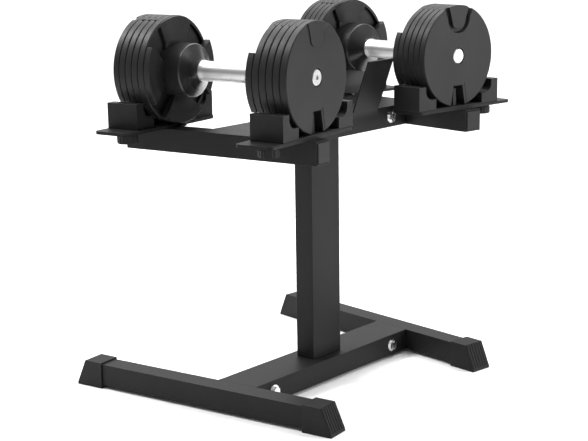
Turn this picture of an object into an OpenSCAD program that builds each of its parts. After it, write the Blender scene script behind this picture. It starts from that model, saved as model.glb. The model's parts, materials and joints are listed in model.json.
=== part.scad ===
// Pair of adjustable dumbbells resting in cradles on a floor stand.
// Millimetres, +Z up. The origin is on the floor at the middle of the footprint. +X points away
// from the user, +Y from the front dumbbell to the rear one. The two arms, foot bars and dumbbells
// are splayed, and come closer together towards +X.

/* [Stand] */
// Turn of each arm, foot bar and dumbbell away from the X axis
splay = 7.7; // [0:0.1:12]
// Height of the top of the arms above the floor
arm_top = 497; // [350:1:650]
// Distance of each arm's middle from the middle plane, at the column
arm_y = 244; // [220:1:280]
// Distance of each foot bar's middle from the middle plane, at the column
foot_y = 247; // [220:1:280]
// Reach of each foot towards the user, to its tip
foot_back = 332; // [280:1:400]
// Reach of each foot away from the user, to its tip
foot_front = 223; // [200:1:300]
// Length of each arm
arm_len = 392; // [370:1:470]
// Side of the square tubes
tube = 40; // [32:1:48]
// Wall of every tube
tube_wall = 2; // [1.5:0.5:3]
// Width of the base beam, the top beam and the column
beam_w = 80; // [60:1:100]
// Gap under the foot bars, which the caps fill
floor_gap = 6; // [3:0.5:8]
// Length of the stubs that the beams slip over
stub_len = 70; // [40:1:90]
// Distance of each beam bolt from the middle of the nearest arm or foot bar
bolt_in = 73; // [50:1:80]
// Radius of the bolts
bolt_r = 5; // [4:0.5:6]

/* [Foot caps] */
// Thickness of the cap around its tube
cap_wall = 3; // [2:0.5:5]
// Depth of the tube in its cap
cap_grip = 32; // [20:1:45]
// How far the cap's toe reaches past its top edge
cap_slope = 20; // [10:1:30]
// Number of ribs across the toe
cap_ribs = 6; // [4:1:8]

/* [Trays and knobs] */
// Thickness of each tray
tray_t = 5.5; // [4:0.5:8]
// Width of each tray across its arm
tray_w = 250; // [236:1:290]
// Corner radius of each tray
tray_corner = 9; // [4:1:14]
// Radius of each knob
knob_r = 18; // [14:1:20]
// Height of each knob
knob_h = 14; // [10:1:18]
// Radius of each knob's stud
stud_r = 4; // [3:0.5:5]

/* [Cradles] */
// Offset of the cradle's middle from the arm's middle, towards the other arm
cradle_inset = 18; // [6:1:22]
// Half the gap between a cradle's two rails
rail_gap = 62; // [54:1:64]
// Width of each rail
rail_w = 45; // [38:1:50]
// Height of each rail's outer wall
rail_h = 44; // [40:1:50]
// Thickness of each rail's outer wall
rail_wall = 18; // [12:1:22]
// Thickness of the cradle's floor
cradle_floor = 2; // [1.5:0.5:2]
// Depth of each rail's shelf below the rims of the weights
shelf_drop = 4.2; // [0:0.1:6]
// Clearance between the keel and the tops of the notches
keel_gap = 6; // [2:0.5:12]

/* [Tablet holder] */
// Sheet thickness
sheet_t = 3; // [2:0.5:4]
// Width of each prong
prong_w = 74; // [50:1:76]
// Distance of each prong's middle from the middle plane
prong_y = 91; // [60:1:91]
// Length of each prong above the beam
prong_len = 103; // [60:1:120]
// Clearance between the tips of the prongs and the housings
prong_gap = 1.5; // [1:0.1:10]
// Height of the flange on the side of the beam
flange_h = 14; // [10:1:24]

/* [Weights] */
// Radius of each weight plate
disc_r = 92.5; // [84:0.5:96]
// Distance from one weight plate to the next
disc_pitch = 13.2; // [12.8:0.1:15]
// Gap between neighbouring plates
disc_gap = 0.4; // [0.2:0.1:0.8]
// Bevel of the rims
rim_bevel = 1.3; // [0.5:0.1:2]
// Half width of the keystone socket at the rim
socket_w = 40; // [34:1:44]
// Half width of the keystone socket's round bottom
socket_bottom = 30; // [26:1:32]
// Depth of the keystone socket below the rim
socket_depth = 51; // [44:1:54]
// Half width of the tab in the socket at the rim
tab_w = 24.5; // [22:0.5:28]
// Half width of the tab's round bottom
tab_bottom = 17.5; // [14:0.5:20]
// Depth of the tab below the rim
tab_depth = 42; // [36:1:44]
// Depth of the socket into the outer face
socket_in = 6; // [4:0.5:7]
// Distance from the axis to the top of the notch under each plate
notch_top = 54; // [52:1:60]
// Half width of the notch at its top
notch_w = 11.5; // [10:0.5:14]
// Half width of the notch at the rim
notch_base = 19.5; // [16:0.5:22]

/* [Handle] */
// Wall of the grip over the drive barrel
grip_wall = 2.2; // [1.6:0.1:4]
// Half length of the grip
grip_half = 54; // [50:1:60]
// How far the grip's ends flare
grip_flare = 1.2; // [0.5:0.1:2.5]
// Length of each cone
cone_len = 19.6; // [12:0.1:30]
// Radius of the hub behind each cone
hub_r = 46; // [42:1:50]
// Length of the hub from the cone to the housing's inner face
hub_len = 22.5; // [15:0.5:30]
// Radius of each locking rod
rod_r = 13.3; // [11:0.1:15]
// Wall of the drive barrel
barrel_wall = 1.7; // [1.5:0.1:1.9]
// Radius of each cam pin
pin_r = 2; // [1.5:0.1:2.5]
// Turn of the grip from the heaviest setting to the lightest
grip_turn = 337.5; // [270:0.5:345]
// Radius of the lock pin
lock_r = 3; // [2:0.5:4]
// Travel of the lock pin
lock_travel = 4; // [3:0.5:5]

/* [Fits] */
// Radial clearance of a shaft that turns or slides in its bore
running_gap = 0.06; // [0.02:0.01:0.1]
// Clearance between pieces that pass each other
pass_gap = 0.4; // [0.3:0.1:0.6]

/* [Hidden] */
$fn = 96;

front = -1;
rear = 1;
left = -1;
right = 1;
ends = [left, right];
sides = [front, rear];
// Small overrun that lets a cut pass cleanly through a face
over = 1;

// Stand
column_x = (foot_back - foot_front) / 2 * cos(splay);
foot_top = floor_gap + tube;
arm_base = arm_top - tube;
beam_base = arm_base;
stub_play = 0.5;
bolt_head_r = 9;
bolt_head_h = 6;
washer_r = 12;
washer_t = 1.6;
head_r = 6.5;
head_h = 5;
// Distance from a cap's toe to its tube's end, and the height of the toe's upright lip
cap_tip = cap_slope + 6;
cap_lip = 4;
groove_w = 2.4;
groove_in = 1.4;
groove_up = 2;
plug_in = 14;
plug_out = 2;

// Weights and handle, measured from the dumbbell's middle along its axis
disc_count = 5;
disc_t = disc_pitch - disc_gap;
hub_x = grip_half + pass_gap + cone_len;
housing_x = hub_x + hub_len;
stack_x = housing_x + disc_pitch;
stack_end = stack_x + disc_count * disc_pitch - disc_gap;
rod_travel = disc_count * disc_pitch;
barrel_in = rod_r + running_gap;
barrel_out = barrel_in + barrel_wall;
barrel_half = housing_x - 1.5;
plate_bore = rod_r + pass_gap;
journal_r = barrel_out + running_gap;
pin_x = barrel_half - 6;
rod_start = pin_x - 6;
cam_lead = rod_travel / grip_turn;
key_w = 4;
key_in = 2.6;
key_start = housing_x + 3;
key_len = 6;
key_play = 0.8;
slot_end = pin_r + 1.5;
barrel_mid = barrel_in + barrel_wall / 2;
slot_helix = atan(2 * PI * barrel_mid / (360 * cam_lead));
slot_half = (pin_r + pass_gap) / cos(slot_helix) / barrel_mid * 180 / PI;
grip_r = barrel_out + grip_wall;
cone_small = grip_r + grip_flare - 0.4;
// Rounding of the corners of the socket and of its tab
socket_corner = 28;
tab_corner = 13;
// Shallow step around each notch, and the wider mouth of the outermost bore
step_w = 5;
step_in = 0.6;
mouth_w = 1.4;
mouth_in = 3;
tool_hole_r = 3.8;
tool_hole_in = 6;
// Keystone on the first plate: half widths at the rim and at the hub, width ratio of its top
wedge_w = 50;
wedge_foot = 29;
wedge_mid = 0.44;
wedge_in = 5;
pocket_rim = 6;
pocket_in = 6;
dish_depth = 5;
dish_rim = 12.5;
dish_r = disc_r - dish_rim;
// Channels between the lobes: their directions and how far each opens from its middle line
upper_angle = 36;
upper_open = 11.4;
lower_angle = 45;
lower_open = 17.5;
lock_len = 24;
spring_room = 5;
tray_top = arm_top + tray_t;
rest_gap = 0.5;
axis_z = tray_top + rest_gap + disc_r;

// Trays and cradles, measured from the arm's middle along it
tray_in = stack_x - 1;
tray_out = stack_end + 4.5;
cradle_in = stack_x + 5;
cradle_out = stack_end + 3;
knob_x = (tray_in + tray_out) / 2;
lock_x = housing_x + disc_pitch / 2;
lock_stick = 2.5;
tongue_in = lock_x - lock_r - 2;
tongue_t = tray_t + rest_gap - lock_stick - pass_gap;
tongue_w = 16;
// Height of the rims above the tray where the rails start
rim_rise = disc_r + rest_gap - sqrt(pow(disc_r, 2) - pow(rail_gap, 2));
shelf_h = rim_rise - shelf_drop;
rail_in = rail_gap + rail_w - rail_wall;
rail_curve = 16;
keel_base = 5;
keel_top = 3.5;
keel_back = 12;
keel_h = rest_gap + disc_r - notch_top - keel_gap;
collar_r = 12;
collar_h = 5;
knob_ribs = 18;
stud_up = 12;

// Lean of the holder's prongs, which ends them just short of the housings
prong_edge = prong_y + prong_w / 2;
prong_free = (housing_x - prong_gap) * cos(splay) - (cradle_inset + disc_r) * sin(splay);
prong_lean = asin((prong_free - beam_w / 2 - sheet_t) / prong_len);

steel_black = [0.13, 0.13, 0.14];
plate_black = [0.22, 0.22, 0.23];
plastic_black = [0.16, 0.16, 0.17];

// Places its children in the frame of an arm or foot bar
module at_bar(side, bar_y) {
  translate([column_x, side * bar_y, 0]) rotate([0, 0, -side * splay]) children();
}

// Places its children in the frame of a dumbbell or its cradles, at the given height
module at_dumbbell(side, height) {
  at_bar(side, arm_y) translate([0, -side * cradle_inset, height]) children();
}

// The same for one end, seen as if it were the end towards +X
module at_end(side, end, height) {
  at_dumbbell(side, height) mirror([end == left ? 1 : 0, 0, 0]) children();
}

// Turns a profile so that its first axis is Y, its second Z, and its height runs along X
module along_x(x) {
  translate([x, 0, 0]) rotate([90, 0, 90]) children();
}

// Square tube lying along X from one end to the other
module tube_x(x0, x1, width, height, wall) {
  difference() {
    translate([x0, -width / 2, 0]) cube([x1 - x0, width, height]);
    translate([x0 - over, -width / 2 + wall, wall])
      cube([x1 - x0 + 2 * over, width - 2 * wall, height - 2 * wall]);
  }
}

// The space from a bar's near face outwards, sunk into the bar by the given depth
module beyond_bar(side, bar_y, base, sink) {
  at_bar(side, bar_y) mirror([0, side == front ? 1 : 0, 0])
    translate([-foot_back, sink - tube / 2, base - over])
      cube([foot_back + foot_front, bar_y, tube + 2 * over]);
}

// Beam between the two bars, hollow and cut to their splay
module beam(bar_y, base) {
  difference() {
    translate([column_x, 0, base]) rotate([0, 0, 90])
      tube_x(-bar_y, bar_y, beam_w, tube, tube_wall);
    for (side = sides) beyond_bar(side, bar_y, base, 0);
    bolt_holes(bar_y, base);
  }
}

// Cross holes for the bolts of one beam
module bolt_holes(bar_y, base) {
  for (side = sides)
    translate([column_x - beam_w, side * (bar_y - bolt_in), base + tube / 2]) rotate([0, 90, 0])
      cylinder(r = bolt_r + pass_gap, h = 2 * beam_w);
}

// Stub welded to a bar, which the beam's end slips over
module stub(side, bar_y, base) {
  width = beam_w - 2 * tube_wall - 2 * stub_play;
  height = tube - 2 * tube_wall - 2 * stub_play;
  difference() {
    translate([column_x, side * (bar_y - tube / 2), base + tube / 2]) rotate([0, 0, 90])
      translate([0, 0, -height / 2]) tube_x(-stub_len, stub_len, width, height, 2 * tube_wall);
    beyond_bar(side, bar_y, base, tube_wall / 2);
    bolt_holes(bar_y, base);
  }
}

// Through bolt along X with a hexagon head, a nut and two washers
module cross_bolt() {
  reach = beam_w / 2;
  rotate([0, 90, 0]) {
    translate([0, 0, -reach - washer_t]) cylinder(r = bolt_r, h = 2 * (reach + washer_t));
    for (turned = [0, 1]) mirror([0, 0, turned]) {
      translate([0, 0, reach]) cylinder(r = washer_r, h = washer_t);
      translate([0, 0, reach + washer_t]) cylinder(r = bolt_head_r, h = bolt_head_h, $fn = 6);
    }
  }
}

module base_beam() {
  color(steel_black) beam(foot_y, floor_gap);
}

// Foot bar: the tube, shortened where its caps slope, and the stub for the base beam
module foot_bar(side) {
  color(steel_black) union() {
    at_bar(side, foot_y) translate([0, 0, floor_gap])
      tube_x(cap_tip - foot_back, foot_front - cap_tip, tube, tube, tube_wall);
    stub(side, foot_y, floor_gap);
  }
}

module front_foot_bar() { foot_bar(front); }
module rear_foot_bar() { foot_bar(rear); }

// Foot cap with its toe at the origin, pointing towards +X
module foot_cap() {
  width = tube + 2 * cap_wall;
  top = foot_top + cap_wall;
  slope = atan2(cap_slope, top - cap_lip);
  difference() {
    translate([0, width / 2, 0]) rotate([90, 0, 0]) linear_extrude(width)
      polygon([[-cap_tip - cap_grip, 0], [0, 0], [0, cap_lip], [-cap_slope, top],
               [-cap_tip - cap_grip, top]]);
    translate([-cap_tip - cap_grip - over, -tube / 2, floor_gap]) cube([cap_grip + over, tube, tube]);
    for (rib = [0 : cap_ribs])
      translate([0, (rib - cap_ribs / 2) * (width - cap_wall) / cap_ribs, cap_lip])
        rotate([0, -slope, 0]) translate([-groove_in, -groove_w / 2, groove_up])
          cube([2 * groove_in, groove_w, 2 * top]);
  }
}

module foot_caps() {
  color(plastic_black) for (side = sides) at_bar(side, foot_y) {
    translate([foot_front, 0, 0]) foot_cap();
    translate([-foot_back, 0, 0]) mirror([1, 0, 0]) foot_cap();
  }
}

module column() {
  color(steel_black) translate([column_x, 0, foot_top]) difference() {
    translate([-tube / 2, -beam_w / 2, 0]) cube([tube, beam_w, beam_base - foot_top]);
    translate([tube_wall - tube / 2, tube_wall - beam_w / 2, -over])
      cube([tube - 2 * tube_wall, beam_w - 2 * tube_wall, arm_top]);
  }
}

module top_beam() {
  color(steel_black) beam(arm_y, beam_base);
}

// Arm: the tube and the stub for the top beam
module arm(side) {
  color(steel_black) union() {
    at_bar(side, arm_y) translate([0, 0, arm_base])
      tube_x(-arm_len / 2, arm_len / 2, tube, tube, tube_wall);
    stub(side, arm_y, arm_base);
  }
}

module front_arm() { arm(front); }
module rear_arm() { arm(rear); }

// Plug that closes an arm's open end
module arm_plug() {
  inner = tube - 2 * tube_wall;
  translate([-plug_in, -inner / 2, -inner / 2]) cube([plug_in, inner, inner]);
  along_x(0) linear_extrude(plug_out) square(inner - plug_out, center = true);
}

module arm_plugs() {
  color(plastic_black) for (side = sides, end = ends)
    at_bar(side, arm_y) translate([0, 0, arm_base + tube / 2]) mirror([end == left ? 1 : 0, 0, 0])
      translate([arm_len / 2, 0, 0]) arm_plug();
}

// Bent sheet on the side of the top beam: a flange and two prongs that lean away from the user
module tablet_holder() {
  color(steel_black) translate([column_x + beam_w / 2, 0, arm_top]) union() {
    translate([0, -prong_edge, -flange_h]) cube([sheet_t, 2 * prong_edge, flange_h]);
    for (side = sides) translate([0, side * prong_y, 0]) rotate([90, 0, 0])
      linear_extrude(prong_w, center = true)
        polygon([[0, -over], [0, 0], prong_point(0, prong_len), prong_point(sheet_t, prong_len),
                 [sheet_t, -sheet_t * tan(prong_lean / 2)], [sheet_t, -over]]);
  }
}

// A point on the leaning sheet: its distance off the rear surface and its height up the slope
function prong_point(off, up) =
  [off * cos(prong_lean) + up * sin(prong_lean), up * cos(prong_lean) - off * sin(prong_lean)];

module beam_bolts() {
  color("silver") for (side = sides, beam = [[foot_y, floor_gap], [arm_y, beam_base]])
    translate([column_x, side * (beam[0] - bolt_in), beam[1] + tube / 2]) cross_bolt();
}

// Flat plate with four round corners, its lowest corner at the origin
module rounded_plate(length, width, thickness, corner) {
  translate([corner, 0, 0]) cube([length - 2 * corner, width, thickness]);
  translate([0, corner, 0]) cube([length, width - 2 * corner, thickness]);
  for (x = [corner, length - corner], y = [corner, width - corner])
    translate([x, y, 0]) cylinder(r = corner, h = thickness);
}

// Tray across the end of an arm, with the tongue that meets the lock pin
module tray(side, end) {
  color(steel_black) at_bar(side, arm_y) translate([0, 0, arm_top])
    mirror([end == left ? 1 : 0, 0, 0]) difference() {
      union() {
        translate([tray_in, -tray_w / 2, 0])
          rounded_plate(tray_out - tray_in, tray_w, tray_t, tray_corner);
        translate([tongue_in, -side * cradle_inset - tongue_w / 2, 0])
          cube([tray_in - tongue_in + tray_corner, tongue_w, tongue_t]);
      }
      for (inner = [0, 1]) translate([knob_x, side * (stud_y(inner) - cradle_inset), -over])
        cylinder(r = stud_r + pass_gap, h = tray_t + 2 * over);
    }
}

module front_left_tray() { tray(front, left); }
module front_right_tray() { tray(front, right); }
module rear_left_tray() { tray(rear, left); }
module rear_right_tray() { tray(rear, right); }

// Half of a cradle's section: outer wall, round inside corner, shelf and floor
function cradle_half() = concat(
  [[rail_gap + rail_w, 0], [rail_gap + rail_w, rail_h], [rail_in, rail_h]],
  [for (turn = [0 : 7.5 : 90])
    [rail_in - rail_curve * (1 - cos(turn)), shelf_h + rail_curve * (1 - sin(turn))]],
  [[rail_gap, shelf_h], [rail_gap, cradle_floor]]);

// Half outline followed by its mirror image, back to front
function both_halves(half) = concat(half,
  [for (place = [len(half) - 1 : -1 : 0]) [-half[place][0], half[place][1]]]);

// Cradle: two rails, a thin floor and the keel that stands in the weights' notches
module cradle(side, end) {
  color(plastic_black) difference() {
    at_end(side, end, tray_top) union() {
      along_x(cradle_in) linear_extrude(cradle_out - cradle_in) polygon(both_halves(cradle_half()));
      along_x(cradle_in) linear_extrude(cradle_out - keel_back - cradle_in)
        polygon(both_halves([[keel_base, 0], [keel_top, keel_h]]));
    }
    for (inner = [0, 1]) at_stud(side, end, inner)
      cylinder(r = stud_r + pass_gap, h = tray_t + stud_up + over);
  }
}

module front_left_cradle() { cradle(front, left); }
module front_right_cradle() { cradle(front, right); }
module rear_left_cradle() { cradle(rear, left); }
module rear_right_cradle() { cradle(rear, right); }

// Distance of a stud from the cradle's middle: under the outer rail's wall, or the inner one's shelf
function stud_y(inner) = inner == 1 ? -(rail_gap + rail_in) / 2 : rail_in + rail_wall / 2;

// Places its children at the underside of one tray, under the outer rail or the inner one
module at_stud(side, end, inner) {
  at_end(side, end, arm_top) translate([knob_x, side * stud_y(inner), 0]) children();
}

// Outline of a knob with an even wave of ribs
function knob_outline() = [for (turn = [0 : 90 / knob_ribs : 359])
  (knob_r - 0.5 + 0.5 * cos(knob_ribs * turn)) * [cos(turn), sin(turn)]];

// Ribbed knob that hangs under a tray
module clamp_knob() {
  difference() {
    union() {
      translate([0, 0, -collar_h]) cylinder(r = collar_r, h = collar_h);
      translate([0, 0, -collar_h - knob_h]) cylinder(r = knob_r - 1.5, h = knob_h);
      translate([0, 0, -collar_h - knob_h + 1.5]) linear_extrude(knob_h - 3) polygon(knob_outline());
    }
    translate([0, 0, -collar_h - knob_h / 2]) cylinder(r = stud_r, h = knob_h + collar_h);
  }
}

module clamp_knobs() {
  color(plastic_black) for (side = sides, end = ends) at_stud(side, end, 0) clamp_knob();
}

module clamp_studs() {
  color("silver") for (side = sides, end = ends) at_stud(side, end, 0)
    translate([0, 0, -collar_h - knob_h / 2])
      cylinder(r = stud_r, h = collar_h + knob_h / 2 + tray_t + stud_up - over);
}

// Screw with a domed head that holds a cradle's inner rail from below
module cradle_screw() {
  cylinder(r = stud_r, h = tray_t + stud_up - over);
  mirror([0, 0, 1]) difference() {
    rotate_extrude() polygon(concat([[0, 0], [head_r, 0]],
      [for (turn = [0 : 15 : 60]) [head_r * cos(turn), head_h * sin(turn) / sin(60)]], [[0, head_h]]));
    translate([0, 0, head_h / 2]) cylinder(r = stud_r - 1, h = head_h, $fn = 6);
  }
}

module cradle_screws() {
  color("silver") for (side = sides, end = ends) at_stud(side, end, 1) cradle_screw();
}

// Outline of a keystone that narrows from the rim down to a round bottom
function keystone(top, bottom, depth, corner) = both_halves(concat(
  [[top, disc_r + 5], [top, disc_r - 6]],
  [for (turn = [0 : 15 : 90])
    [bottom - corner * (1 - cos(turn)), disc_r - depth + corner * (1 - sin(turn))]]));

// Outline of the notch under each plate, widened by the given amount
function notch_outline(wider) = both_halves(
  [[notch_w + wider, wider - notch_top], [notch_base + wider, -disc_r - over]]);

// Round disc with bevelled rims
module bevelled_disc(thickness) {
  rotate_extrude($fn = 160) polygon([[0, 0], [disc_r - rim_bevel, 0], [disc_r, rim_bevel],
    [disc_r, thickness - rim_bevel], [disc_r - rim_bevel, thickness], [0, thickness]]);
}

// Tapered space around the tab in an outer face, drawn from above the face inwards and narrowed
// by the given clearance
module socket_space(depth, narrowing, gap) {
  difference() {
    translate([0, disc_r, disc_t + over]) mirror([0, 0, 1])
      linear_extrude(depth + over - gap, scale = [narrowing, (1 + narrowing) / 2], slices = 1, $fn = 12)
        translate([0, -disc_r])
          polygon(keystone(socket_w - gap, socket_bottom - gap, socket_depth - gap, socket_corner));
    linear_extrude(2 * disc_t)
      polygon(keystone(tab_w + gap, tab_bottom + gap, tab_depth + gap, tab_corner));
  }
}

// Ridge on an inner face that fits the socket of the plate before
module socket_ridge() {
  translate([0, 0, -disc_pitch]) intersection() {
    cylinder(r = disc_r, h = disc_pitch, $fn = 160);
    socket_space(socket_in, 0.9, pass_gap);
  }
}

// Outline of the first plate's keystone
function wedge_outline() = both_halves([[wedge_w, disc_r + over], [wedge_foot, hub_r + 3]]);

// Pocket in the first plate's inner face, inside its rim and on both sides of the keystone
module first_pocket() {
  translate([0, 0, -over]) linear_extrude(pocket_in + over) difference() {
    circle(r = disc_r - pocket_rim, $fn = 160);
    circle(r = hub_r + 1);
    translate([-wedge_foot, 0]) square([2 * wedge_foot, hub_r + 3]);
    polygon(wedge_outline());
  }
}

// Keystone with sloping flanks on the first plate's inner face, in the open top of the housing
module first_wedge() {
  intersection() {
    mirror([0, 0, 1]) linear_extrude(wedge_in, scale = [wedge_mid, 1], slices = 1, $fn = 12)
      polygon(wedge_outline());
    translate([0, 0, -wedge_in]) cylinder(r = disc_r - rim_bevel, h = 2 * wedge_in, $fn = 160);
  }
}

// Weight plate number place, counted from the housing outwards
module plate(side, end, place) {
  outermost = place == disc_count;
  color(plate_black) at_end(side, end, axis_z)
    along_x(stack_x + (place - 1) * disc_pitch) difference() {
      union() {
        difference() {
          bevelled_disc(disc_t);
          if (place == 1) first_pocket();
        }
        if (place > 1) socket_ridge();
        if (place == 1) first_wedge();
      }
      if (outermost && side != end) socket_space(socket_in / 4, 0.8, 0);
      else socket_space(socket_in, 0.9, 0);
      if (outermost) {
        translate([0, 0, disc_t - mouth_in]) cylinder(r = plate_bore + mouth_w, h = mouth_in + over);
        translate([0, 0, disc_t - step_in]) linear_extrude(step_in + over) polygon(notch_outline(step_w));
      }
      translate([0, 0, -over]) cylinder(r = plate_bore, h = disc_t + 2 * over);
      translate([0, 0, -over]) linear_extrude(disc_t + 2 * over) polygon(notch_outline(0));
    }
}

module front_left_plate_1() { plate(front, left, 1); }
module front_left_plate_2() { plate(front, left, 2); }
module front_left_plate_3() { plate(front, left, 3); }
module front_left_plate_4() { plate(front, left, 4); }
module front_left_plate_5() { plate(front, left, 5); }
module front_right_plate_1() { plate(front, right, 1); }
module front_right_plate_2() { plate(front, right, 2); }
module front_right_plate_3() { plate(front, right, 3); }
module front_right_plate_4() { plate(front, right, 4); }
module front_right_plate_5() { plate(front, right, 5); }
module rear_left_plate_1() { plate(rear, left, 1); }
module rear_left_plate_2() { plate(rear, left, 2); }
module rear_left_plate_3() { plate(rear, left, 3); }
module rear_left_plate_4() { plate(rear, left, 4); }
module rear_left_plate_5() { plate(rear, left, 5); }
module rear_right_plate_1() { plate(rear, right, 1); }
module rear_right_plate_2() { plate(rear, right, 2); }
module rear_right_plate_3() { plate(rear, right, 3); }
module rear_right_plate_4() { plate(rear, right, 4); }
module rear_right_plate_5() { plate(rear, right, 5); }

// The three lobes of a housing: left, right and bottom, dished towards the hub
module housing_lobes() {
  difference() {
    bevelled_disc(disc_t);
    translate([0, 0, -over]) linear_extrude(disc_t + 2 * over) difference() {
      union() {
        for (turn = [upper_angle, 180 - upper_angle]) rotate(turn)
          translate([0, -upper_open]) square([2 * disc_r, 2 * upper_open]);
        for (turn = [-lower_angle, lower_angle - 180]) rotate(turn)
          translate([0, -lower_open]) square([2 * disc_r, 2 * lower_open]);
        polygon([[0, 0], 2 * disc_r * [cos(upper_angle), sin(upper_angle)],
                 2 * disc_r * [-cos(upper_angle), sin(upper_angle)]]);
      }
      circle(r = hub_r);
    }
    rotate_extrude() polygon(concat([[0, -over], [0, dish_depth]],
      [for (step = [0 : 0.1 : 1])
        [hub_r + step * (dish_r - hub_r), dish_depth * (1 + cos(180 * step)) / 2]],
      [[dish_r + over, -over]]));
  }
}

// Housing: lobes, hub, journal for the drive barrel, key for the rod and the lock pin's pocket
module housing(side, end) {
  has_lock = side != end;
  color(plate_black) at_end(side, end, axis_z) {
    difference() {
      union() {
        along_x(housing_x) housing_lobes();
        along_x(hub_x) cylinder(r = hub_r, h = stack_x - disc_gap - hub_x);
      }
      along_x(hub_x - over) cylinder(r = journal_r, h = barrel_half + pass_gap - hub_x + over);
      along_x(hub_x) cylinder(r = plate_bore, h = stack_x - hub_x);
      if (has_lock) translate([lock_x, 0, -disc_r - over])
        cylinder(r = lock_r + running_gap, h = lock_len + lock_travel + spring_room);
    }
    translate([key_start, -key_w / 2, -plate_bore - over])
      cube([key_len, key_w, plate_bore + over - rod_r + key_in - pass_gap]);
  }
}

module front_left_housing() { housing(front, left); }
module front_right_housing() { housing(front, right); }
module rear_left_housing() { housing(rear, left); }
module rear_right_housing() { housing(rear, right); }

// Polished cone between the grip and the hub
module cone(side, end) {
  color("dimgray") at_end(side, end, axis_z) along_x(grip_half + pass_gap) rotate_extrude()
    polygon(concat([[barrel_out + pass_gap, 0]],
      [for (step = [0 : 0.1 : 1])
        [cone_small + (hub_r - 1.5 - cone_small) * pow(step, 1.2), step * (cone_len - 3)]],
      [[hub_r - 0.4, cone_len - 2], [hub_r, cone_len - 1], [hub_r, cone_len],
       [barrel_out + pass_gap, cone_len]]));
}

module front_left_cone() { cone(front, left); }
module front_right_cone() { cone(front, right); }
module rear_left_cone() { cone(rear, left); }
module rear_right_cone() { cone(rear, right); }

// Half outline of the grip from its middle to its rounded, flared end
function grip_outline() = [
  [grip_r, 0], [grip_r, grip_half - 14], [grip_r + 0.2 * grip_flare, grip_half - 10],
  [grip_r + 0.7 * grip_flare, grip_half - 6], [grip_r + grip_flare, grip_half - 3],
  [grip_r + 0.8 * grip_flare, grip_half - 1.2], [grip_r, grip_half]];

module grip(side) {
  color("lightgray") at_dumbbell(side, axis_z) for (turned = [0, 1]) mirror([turned, 0, 0])
    along_x(0) rotate_extrude()
      polygon(concat([[barrel_out, grip_half], [barrel_out, 0]], grip_outline()));
}

module front_grip() { grip(front); }
module rear_grip() { grip(rear); }

// Helical slot through the barrel's wall, which draws one rod in as the grip turns
module cam_slot() {
  slot_len = rod_travel + 2 * slot_end;
  along_x(pin_x - rod_travel - slot_end)
    linear_extrude(slot_len, twist = slot_len / cam_lead, slices = 90, $fn = 6)
      rotate((rod_travel + slot_end) / cam_lead) polygon([
        for (corner = [[barrel_in - over, -1], [barrel_out + over, -1], [barrel_out + over, 0],
                       [barrel_out + over, 1], [barrel_in - over, 1], [barrel_in - over, 0]])
          corner[0] * [sin(corner[1] * slot_half), cos(corner[1] * slot_half)]]);
}

// Barrel that turns with the grip
module drive_barrel(side) {
  color("gray") at_dumbbell(side, axis_z) difference() {
    along_x(-barrel_half) cylinder(r = barrel_out, h = 2 * barrel_half);
    along_x(-barrel_half - over) cylinder(r = barrel_in, h = 2 * (barrel_half + over));
    cam_slot();
    mirror([1, 0, 0]) cam_slot();
  }
}

module front_drive_barrel() { drive_barrel(front); }
module rear_drive_barrel() { drive_barrel(rear); }

// Locking rod with its keyway and its cam pin
module rod(side, end) {
  color("silver") at_end(side, end, axis_z) {
    difference() {
      along_x(rod_start) rotate_extrude() polygon([[0, 0], [rod_r, 0],
        [rod_r, stack_end - rod_start - 0.8], [rod_r - 0.8, stack_end - rod_start],
        [0, stack_end - rod_start]]);
      translate([key_start - 2, -key_w / 2 - pass_gap, -rod_r - over])
        cube([2 + key_len + rod_travel + key_play, key_w + 2 * pass_gap, key_in + over]);
      if (side != end) along_x(stack_end - tool_hole_in)
        cylinder(r = tool_hole_r, h = tool_hole_in + over);
    }
    translate([pin_x, 0, rod_r - 4]) cylinder(r = pin_r, h = 4 + barrel_wall - pass_gap);
  }
}

module front_left_rod() { rod(front, left); }
module front_right_rod() { rod(front, right); }
module rear_left_rod() { rod(rear, left); }
module rear_right_rod() { rod(rear, right); }

// Spring-loaded pin that the tray's tongue presses
module lock_pin(side) {
  color("silver") at_end(side, -side, axis_z) translate([lock_x, 0, -disc_r - lock_stick]) {
    translate([0, 0, over]) cylinder(r = lock_r, h = lock_len - over);
    cylinder(r = lock_r - over, h = lock_len / 2);
  }
}

module front_lock_pin() { lock_pin(front); }
module rear_lock_pin() { lock_pin(rear); }

base_beam();
front_foot_bar();
rear_foot_bar();
foot_caps();
column();
top_beam();
front_arm();
rear_arm();
arm_plugs();
tablet_holder();
beam_bolts();
cradle_screws();
front_left_tray();
front_right_tray();
rear_left_tray();
rear_right_tray();
front_left_cradle();
front_right_cradle();
rear_left_cradle();
rear_right_cradle();
clamp_knobs();
clamp_studs();
front_left_plate_1();
front_left_plate_2();
front_left_plate_3();
front_left_plate_4();
front_left_plate_5();
front_right_plate_1();
front_right_plate_2();
front_right_plate_3();
front_right_plate_4();
front_right_plate_5();
rear_left_plate_1();
rear_left_plate_2();
rear_left_plate_3();
rear_left_plate_4();
rear_left_plate_5();
rear_right_plate_1();
rear_right_plate_2();
rear_right_plate_3();
rear_right_plate_4();
rear_right_plate_5();
front_left_housing();
front_right_housing();
rear_left_housing();
rear_right_housing();
front_left_cone();
front_right_cone();
rear_left_cone();
rear_right_cone();
front_grip();
rear_grip();
front_drive_barrel();
rear_drive_barrel();
front_left_rod();
front_right_rod();
rear_left_rod();
rear_right_rod();
front_lock_pin();
rear_lock_pin();
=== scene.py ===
"""Looks of the adjustable dumbbell set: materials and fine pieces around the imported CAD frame."""
import json
import math

import bmesh
import bpy
from mathutils import Matrix, Vector


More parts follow.
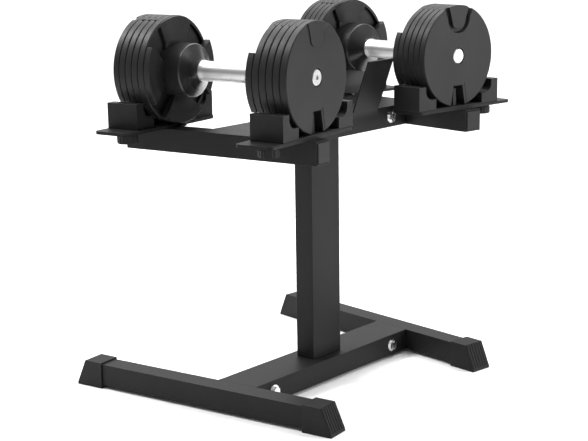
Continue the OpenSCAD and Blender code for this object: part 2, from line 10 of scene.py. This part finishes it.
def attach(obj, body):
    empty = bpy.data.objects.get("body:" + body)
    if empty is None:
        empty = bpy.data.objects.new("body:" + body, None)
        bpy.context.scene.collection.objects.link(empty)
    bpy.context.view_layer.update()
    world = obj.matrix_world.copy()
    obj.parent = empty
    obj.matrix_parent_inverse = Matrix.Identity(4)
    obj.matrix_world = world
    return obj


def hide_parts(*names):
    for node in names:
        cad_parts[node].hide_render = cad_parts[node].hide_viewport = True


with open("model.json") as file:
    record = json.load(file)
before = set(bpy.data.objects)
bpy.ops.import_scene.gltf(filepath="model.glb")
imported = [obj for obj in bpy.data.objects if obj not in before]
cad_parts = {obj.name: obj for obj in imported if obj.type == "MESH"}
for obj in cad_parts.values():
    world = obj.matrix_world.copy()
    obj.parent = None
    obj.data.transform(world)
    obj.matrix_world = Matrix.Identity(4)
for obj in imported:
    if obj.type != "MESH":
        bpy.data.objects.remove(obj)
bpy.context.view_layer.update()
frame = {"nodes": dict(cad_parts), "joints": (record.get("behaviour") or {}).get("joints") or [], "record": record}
MM = 0.001

# --------------------------------------------------------------------------------------------
# Directions taken from the frame
# --------------------------------------------------------------------------------------------
SIDES = ("front", "rear")
joints = {joint["name"]: joint for joint in frame["joints"]}
grip_axis = {side: Vector(joints[side + "_grip_turn"]["axis"]) for side in SIDES}
splay = {side: math.atan2(grip_axis[side].y, grip_axis[side].x) for side in SIDES}


# --------------------------------------------------------------------------------------------
# Materials
# --------------------------------------------------------------------------------------------
class Nodes:
    """A material's node tree, with short calls for the nodes that the materials share."""

    def __init__(self, name):
        self.material = bpy.data.materials.new(name)
        self.material.use_nodes = True
        self.tree = self.material.node_tree
        self.shader = self.tree.nodes["Principled BSDF"]

    def add(self, kind, settings=None, **inputs):
        node = self.tree.nodes.new(kind)
        for name, value in (settings or {}).items():
            setattr(node, name, value)
        for name, value in inputs.items():
            self.put(node.inputs[name.replace("_", " ")], value)
        return node

    def put(self, socket, value):
        if isinstance(value, bpy.types.NodeSocket):
            self.tree.links.new(value, socket)
        else:
            socket.default_value = value

    def place(self, turn=0.0, scale=(1, 1, 1)):
        """Coordinates in the frame, turned about Z and then scaled."""
        coords = self.add("ShaderNodeTexCoord").outputs["Object"]
        turned = self.add("ShaderNodeMapping", Vector=coords, Rotation=(0, 0, -turn))
        return self.add("ShaderNodeMapping", Vector=turned.outputs[0], Scale=scale).outputs[0]

    def noise(self, place, scale, detail=3.0, roughness=0.5):
        return self.add("ShaderNodeTexNoise", Vector=place, Scale=scale, Detail=detail,
                        Roughness=roughness).outputs["Fac"]

    def spread(self, value, low, high):
        """Maps the middle of a noise to a range of values."""
        return self.add("ShaderNodeMapRange", Value=value, From_Min=0.3, From_Max=0.7,
                        To_Min=low, To_Max=high).outputs[0]

    def tint(self, value, dark, light):
        """Maps the middle of a noise to a range of colours."""
        ramp = self.add("ShaderNodeValToRGB", Fac=value)
        ramp.color_ramp.elements[0].position = 0.3
        ramp.color_ramp.elements[1].position = 0.7
        ramp.color_ramp.elements[0].color = (*dark, 1)
        ramp.color_ramp.elements[1].color = (*light, 1)
        return ramp.outputs["Color"]

    def bump(self, height, distance, strength=1.0, below=None):
        node = self.add("ShaderNodeBump", Height=height, Distance=distance, Strength=strength)
        if below is not None:
            self.put(node.inputs["Normal"], below)
        return node.outputs[0]

    def finish(self, colour, roughness, normal=None, metallic=0.0, **extra):
        self.put(self.shader.inputs["Base Color"], colour)
        self.put(self.shader.inputs["Roughness"], roughness)
        self.put(self.shader.inputs["Metallic"], metallic)
        if normal is not None:
            self.put(self.shader.inputs["Normal"], normal)
        for name, value in extra.items():
            self.put(self.shader.inputs[name.replace("_", " ")], value)
        return self.material


def grey(level):
    return (level, level, level * 1.04)


def powder_coat():
    """Fine-textured satin black powder coat on the steel tubes and sheets."""
    n = Nodes("frame_black")
    place = n.place()
    cloud = n.noise(place, 9)
    grain = n.noise(place, 900, 2)
    peel = n.noise(place, 220, 2)
    normal = n.bump(grain, 0.00005, 0.4, n.bump(peel, 0.0001, 0.3))
    return n.finish(n.tint(cloud, grey(0.0085), grey(0.0105)), n.spread(grain, 0.42, 0.54), normal,
                    Specular_IOR_Level=0.16)


def plate_coat():
    """Satin coating of the weights, a little lighter than the stand."""
    n = Nodes("plate_black")
    place = n.place()
    cloud = n.noise(place, 14)
    grain = n.noise(place, 1100, 2)
    normal = n.bump(grain, 0.00004, 0.35, n.bump(n.noise(place, 160, 2), 0.00008, 0.25))
    return n.finish(n.tint(cloud, grey(0.012), grey(0.0155)), n.spread(grain, 0.40, 0.5), normal,
                    Specular_IOR_Level=0.2)


def moulded_plastic():
    """Spark-textured black plastic of the cradles, knobs and plugs."""
    n = Nodes("moulded_black")
    place = n.place()
    grain = n.noise(place, 1500, 3)
    normal = n.bump(grain, 0.00005, 0.5)
    return n.finish(n.tint(n.noise(place, 20), grey(0.008), grey(0.0105)),
                    n.spread(grain, 0.42, 0.54), normal, Specular_IOR_Level=0.22)


def foot_rubber():
    """Dull black rubber of the foot caps."""
    n = Nodes("rubber_black")
    place = n.place()
    grain = n.noise(place, 1000, 4, 0.6)
    normal = n.bump(grain, 0.00008, 0.6)
    return n.finish(n.tint(n.noise(place, 25), grey(0.009), grey(0.013)),
                    n.spread(grain, 0.55, 0.7), normal, Specular_IOR_Level=0.2)


def polished_cone(side):
    """Dark polished cones, with faint rings from turning."""
    n = Nodes("cone_black_" + side)
    rings = n.noise(n.place(splay[side], (160, 4, 4)), 1.0, 2)
    normal = n.bump(rings, 0.00001, 0.1)
    return n.finish((*grey(0.03), 1), n.spread(rings, 0.26, 0.3), normal, 0.6,
                    Coat_Weight=0.35, Coat_Roughness=0.16)


def brushed_steel(name, side, colour, low, high, depth):
    """Steel brushed around the dumbbell's axis."""
    n = Nodes(name + "_" + side)
    lines = n.noise(n.place(splay[side], (2600, 30, 30)), 1.0, 3, 0.6)
    cloud = n.noise(n.place(), 35)
    normal = n.bump(lines, depth, 0.5)
    dark = tuple(0.9 * part for part in colour)
    return n.finish(n.tint(cloud, dark, colour), n.spread(lines, low, high), normal, 1.0)


def bright_plate():
    """Bright zinc plating of the bolts and studs."""
    n = Nodes("bright_metal")
    place = n.place()
    cloud = n.noise(place, 260)
    return n.finish(n.tint(cloud, (0.72, 0.72, 0.73), (0.84, 0.84, 0.85)),
                    n.spread(cloud, 0.16, 0.3), n.bump(cloud, 0.00003, 0.3), 1.0)


slot_material = {
    "frame_black": powder_coat(),
    "plate_black": plate_coat(),
    "moulded_black": moulded_plastic(),
    "rubber_black": foot_rubber(),
    "bright_metal": bright_plate(),
}
for side in SIDES:
    slot_material["cone_black", side] = polished_cone(side)
    slot_material["grip_steel", side] = brushed_steel(
        "grip_steel", side, (0.5, 0.5, 0.5), 0.36, 0.48, 0.00003)
    slot_material["rod_steel", side] = brushed_steel(
        "rod_steel", side, (0.74, 0.74, 0.75), 0.24, 0.34, 0.00002)
    slot_material["barrel_steel", side] = brushed_steel(
        "barrel_steel", side, (0.5, 0.5, 0.51), 0.3, 0.42, 0.00003)


def material_of(node, slot):
    return slot_material.get(slot) or slot_material[slot, node.split("_")[0]]


# --------------------------------------------------------------------------------------------
# Pieces: CAD nodes whose edges are rounded as the real ones are, and the rest as they come
# --------------------------------------------------------------------------------------------
# Width of the rounding in millimetres, for nodes whose names contain the word; the first match
# counts
EDGE_ROUNDING = (
    ("plate_", 1.4), ("housing", 1.3), ("cradle", 1.2), ("tray", 0.9), ("tablet_holder", 0.8),
    ("beam", 1.6), ("arm_plugs", 0.8), ("arm", 2.2), ("foot_bar", 2.2), ("foot_caps", 0.35),
    ("column", 2.2), ("clamp_knobs", 0.5),
)
PLAIN = ("beam_bolts", "cradle_screws")
# Facets closer in angle than this, in degrees, are one face; edges sharper than BEVEL_ANGLE are
# rounded, and those under SMOOTH_ANGLE are shaded smooth
FLAT_ANGLE = 0.6
BEVEL_ANGLE = 34
SMOOTH_ANGLE = 40
WELD = 0.00001
body_of = {node: body for body, nodes in frame["record"]["behaviour"]["bodies"].items()
           for node in nodes}


def rounding(node):
    """The width of a node's rounded edges, or 0 where its CAD mesh is kept."""
    if node in PLAIN:
        return 0
    return next((width * MM for word, width in EDGE_ROUNDING if word in node), 0)


def rounded_piece(node, width, material):
    """A copy of a CAD node with merged facets and rounded hard edges, in the node's place."""
    source = frame["nodes"][node]
    mesh = bpy.data.meshes.new("look_" + node)
    work = bmesh.new()
    work.from_mesh(source.data)
    bmesh.ops.remove_doubles(work, verts=work.verts, dist=WELD)
    bmesh.ops.dissolve_limit(work, angle_limit=math.radians(FLAT_ANGLE), verts=work.verts,
                             edges=work.edges)
    work.to_mesh(mesh)
    work.free()
    mesh.materials.clear()
    mesh.materials.append(material)
    piece = bpy.data.objects.new("look_" + node, mesh)
    bpy.context.scene.collection.objects.link(piece)
    bevel = piece.modifiers.new("bevel", "BEVEL")
    bevel.width = width
    bevel.segments = 2
    bevel.limit_method = "ANGLE"
    bevel.angle_limit = math.radians(BEVEL_ANGLE)
    bevel.miter_outer = "MITER_ARC"
    bpy.context.view_layer.objects.active = piece
    bpy.ops.object.select_all(action="DESELECT")
    piece.select_set(True)
    bpy.ops.object.modifier_apply(modifier="bevel")
    bpy.ops.object.shade_smooth_by_angle(angle=math.radians(SMOOTH_ANGLE))
    # Flat faces keep their own normals, so that only the rounding between them is shaded smooth
    weighted = piece.modifiers.new("weighted", "WEIGHTED_NORMAL")
    weighted.keep_sharp = True
    bpy.ops.object.modifier_apply(modifier="weighted")
    return piece


for part in frame["record"]["subparts"]:
    node = part["node"]
    material = material_of(node, part["material_slot"])
    width = rounding(node)
    if width:
        piece = rounded_piece(node, width, material)
        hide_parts(node)
        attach(piece, body_of[node])
    else:
        mesh = frame["nodes"][node].data
        mesh.materials.clear()
        mesh.materials.append(material)


# --------------------------------------------------------------------------------------------
# Floor, light and camera
# --------------------------------------------------------------------------------------------
def plain_material(name, colour, roughness):
    n = Nodes(name)
    return n.finish((*colour, 1), roughness)


def make_floor():
    bpy.ops.mesh.primitive_plane_add(size=30, location=(0, 0, 0))
    floor = bpy.context.object
    floor.name = "floor"
    floor.data.materials.append(plain_material("floor_pale", (0.95, 0.95, 0.95), 0.7))


def area_light(name, place, target, size, power):
    """Soft box at a place, turned to its target, which the camera doesn't see."""
    data = bpy.data.lights.new(name, "AREA")
    data.shape = "RECTANGLE"
    data.size, data.size_y = size
    data.energy = power
    lamp = bpy.data.objects.new(name, data)
    bpy.context.scene.collection.objects.link(lamp)
    lamp.location = place
    lamp.rotation_euler = (Vector(target) - Vector(place)).to_track_quat("-Z", "Y").to_euler()
    lamp.visible_camera = False


def make_world(horizon, overhead):
    """Studio sky that brightens from the horizon to overhead."""
    world = bpy.data.worlds.new("studio")
    world.use_nodes = True
    tree = world.node_tree
    coords = tree.nodes.new("ShaderNodeTexCoord").outputs["Generated"]
    split = tree.nodes.new("ShaderNodeSeparateXYZ")
    ramp = tree.nodes.new("ShaderNodeMapRange")
    tree.links.new(coords, split.inputs[0])
    tree.links.new(split.outputs["Z"], ramp.inputs["Value"])
    ramp.inputs["From Min"].default_value = 0.1
    ramp.inputs["From Max"].default_value = 0.9
    ramp.inputs["To Min"].default_value = horizon
    ramp.inputs["To Max"].default_value = overhead
    background = tree.nodes["Background"]
    background.inputs["Color"].default_value = (1, 1, 1, 1)
    tree.links.new(ramp.outputs[0], background.inputs["Strength"])
    bpy.context.scene.world = world


def make_camera():
    """Camera at the product picture's angle: 40.7 degrees round from +X, looking 12.4 degrees down."""
    around, down, roll = (math.radians(angle) for angle in (40.73, 12.4353, -0.8238))
    forward = Vector((-math.sin(around) * math.cos(down), math.cos(around) * math.cos(down),
                      -math.sin(down)))
    level = Vector((math.cos(around), math.sin(around), 0))
    upright = level.cross(forward)
    right = level * math.cos(roll) + upright * math.sin(roll)
    up = -level * math.sin(roll) + upright * math.cos(roll)
    data = bpy.data.cameras.new("camera")
    data.lens = 86.7
    data.sensor_width = 36
    camera = bpy.data.objects.new("camera", data)
    bpy.context.scene.collection.objects.link(camera)
    turn = Matrix((right, up, -forward)).transposed().to_4x4()
    camera.matrix_world = Matrix.Translation((1.68568, -1.96146, 0.86364)) @ turn
    bpy.context.scene.camera = camera


# The point that the lamps face
MIDDLE = (0, 0, 0.45)
# Keeps the floor white and the coatings black, which the default view transform greys
bpy.context.scene.view_settings.view_transform = "Standard"
make_floor()
make_world(0.3, 0.6)
area_light("top_left", (-1.6, -1.0, 2.6), MIDDLE, (0.6, 0.6), 60)
area_light("backdrop", (-6.5, 7.5, 4), (-6.5, 7.5, 0), (14, 14), 700)
area_light("right_side", (2.6, 1.6, 1.3), MIDDLE, (1.0, 1.6), 60)
area_light("top", (-0.6, 0.8, 3.2), (-0.5, 0.6, 0), (3.4, 3.4), 150)
make_camera()
